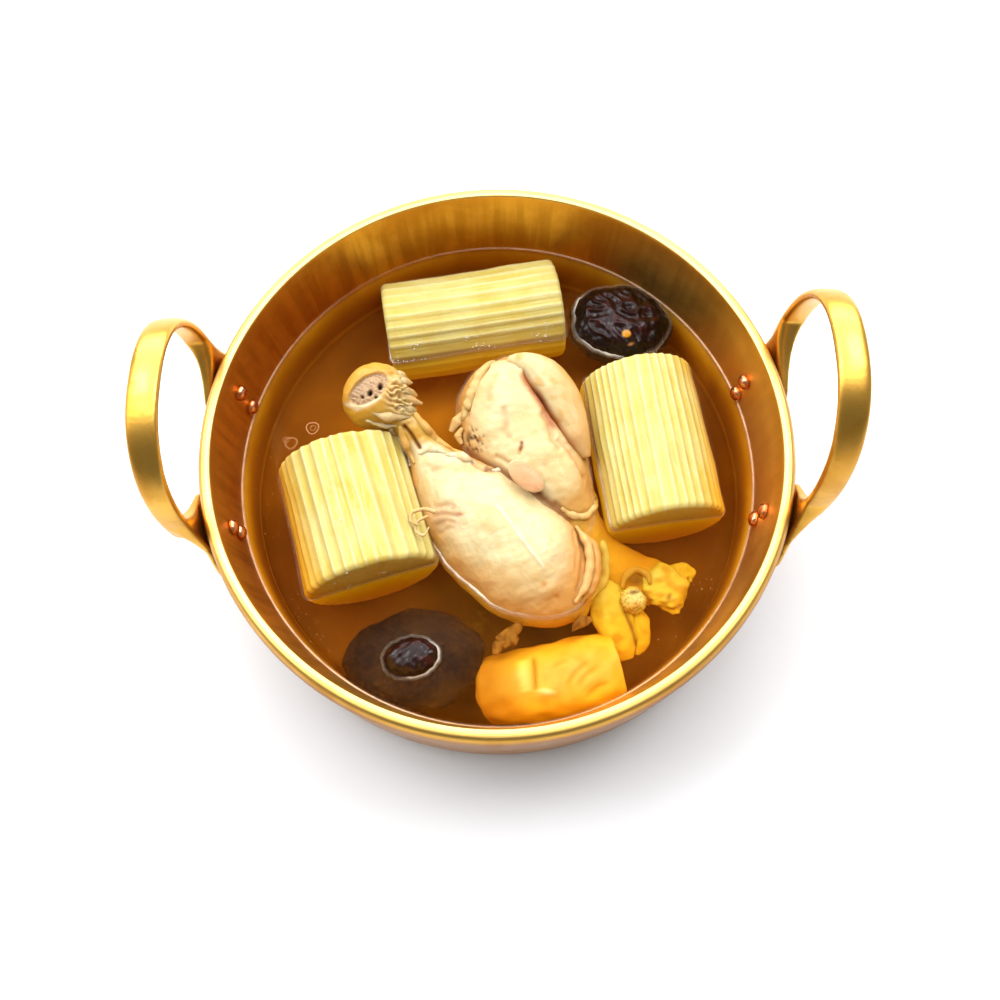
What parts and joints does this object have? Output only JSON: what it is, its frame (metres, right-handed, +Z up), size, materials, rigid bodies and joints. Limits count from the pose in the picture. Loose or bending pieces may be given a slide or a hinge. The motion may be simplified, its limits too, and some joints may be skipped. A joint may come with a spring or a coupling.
{
  "type": "pot of chicken soup",
  "caption": "Round brass pot with two upright loop handles, holding clear broth with chicken pieces, ribbed gourd lengths and whole mushroom caps.",
  "frame": {"origin": "centre of the pot's flat base, on the surface that it stands on", "axes": "+Z up, X through the two handles, Y across them"},
  "size_m": [0.2176, 0.204, 0.1087],
  "materials": {
    "brass": "satin, brushed round the inside",
    "copper_rivet": "smooth copper rivet head",
    "broth": "clear amber broth",
    "gourd": "soft cooked flesh, wet",
    "chicken": "poached chicken, wet",
    "mushroom": "dark braised mushroom, glossy"
  },
  "bodies": {
    "root": {"pot": "brass", "handle_right": "brass", "handle_left": "brass", "rivet_right_a1": "copper_rivet", "rivet_right_a2": "copper_rivet", "rivet_right_b1": "copper_rivet", "rivet_right_b2": "copper_rivet", "rivet_left_a1": "copper_rivet", "rivet_left_a2": "copper_rivet", "rivet_left_b1": "copper_rivet", "rivet_left_b2": "copper_rivet", "gourd_back": "gourd", "gourd_right": "gourd", "gourd_left": "gourd", "drumstick": "chicken", "thigh": "chicken", "mushroom_back": "mushroom", "mushroom_front": "mushroom", "broth": "broth"}
  },
  "joints": []
}
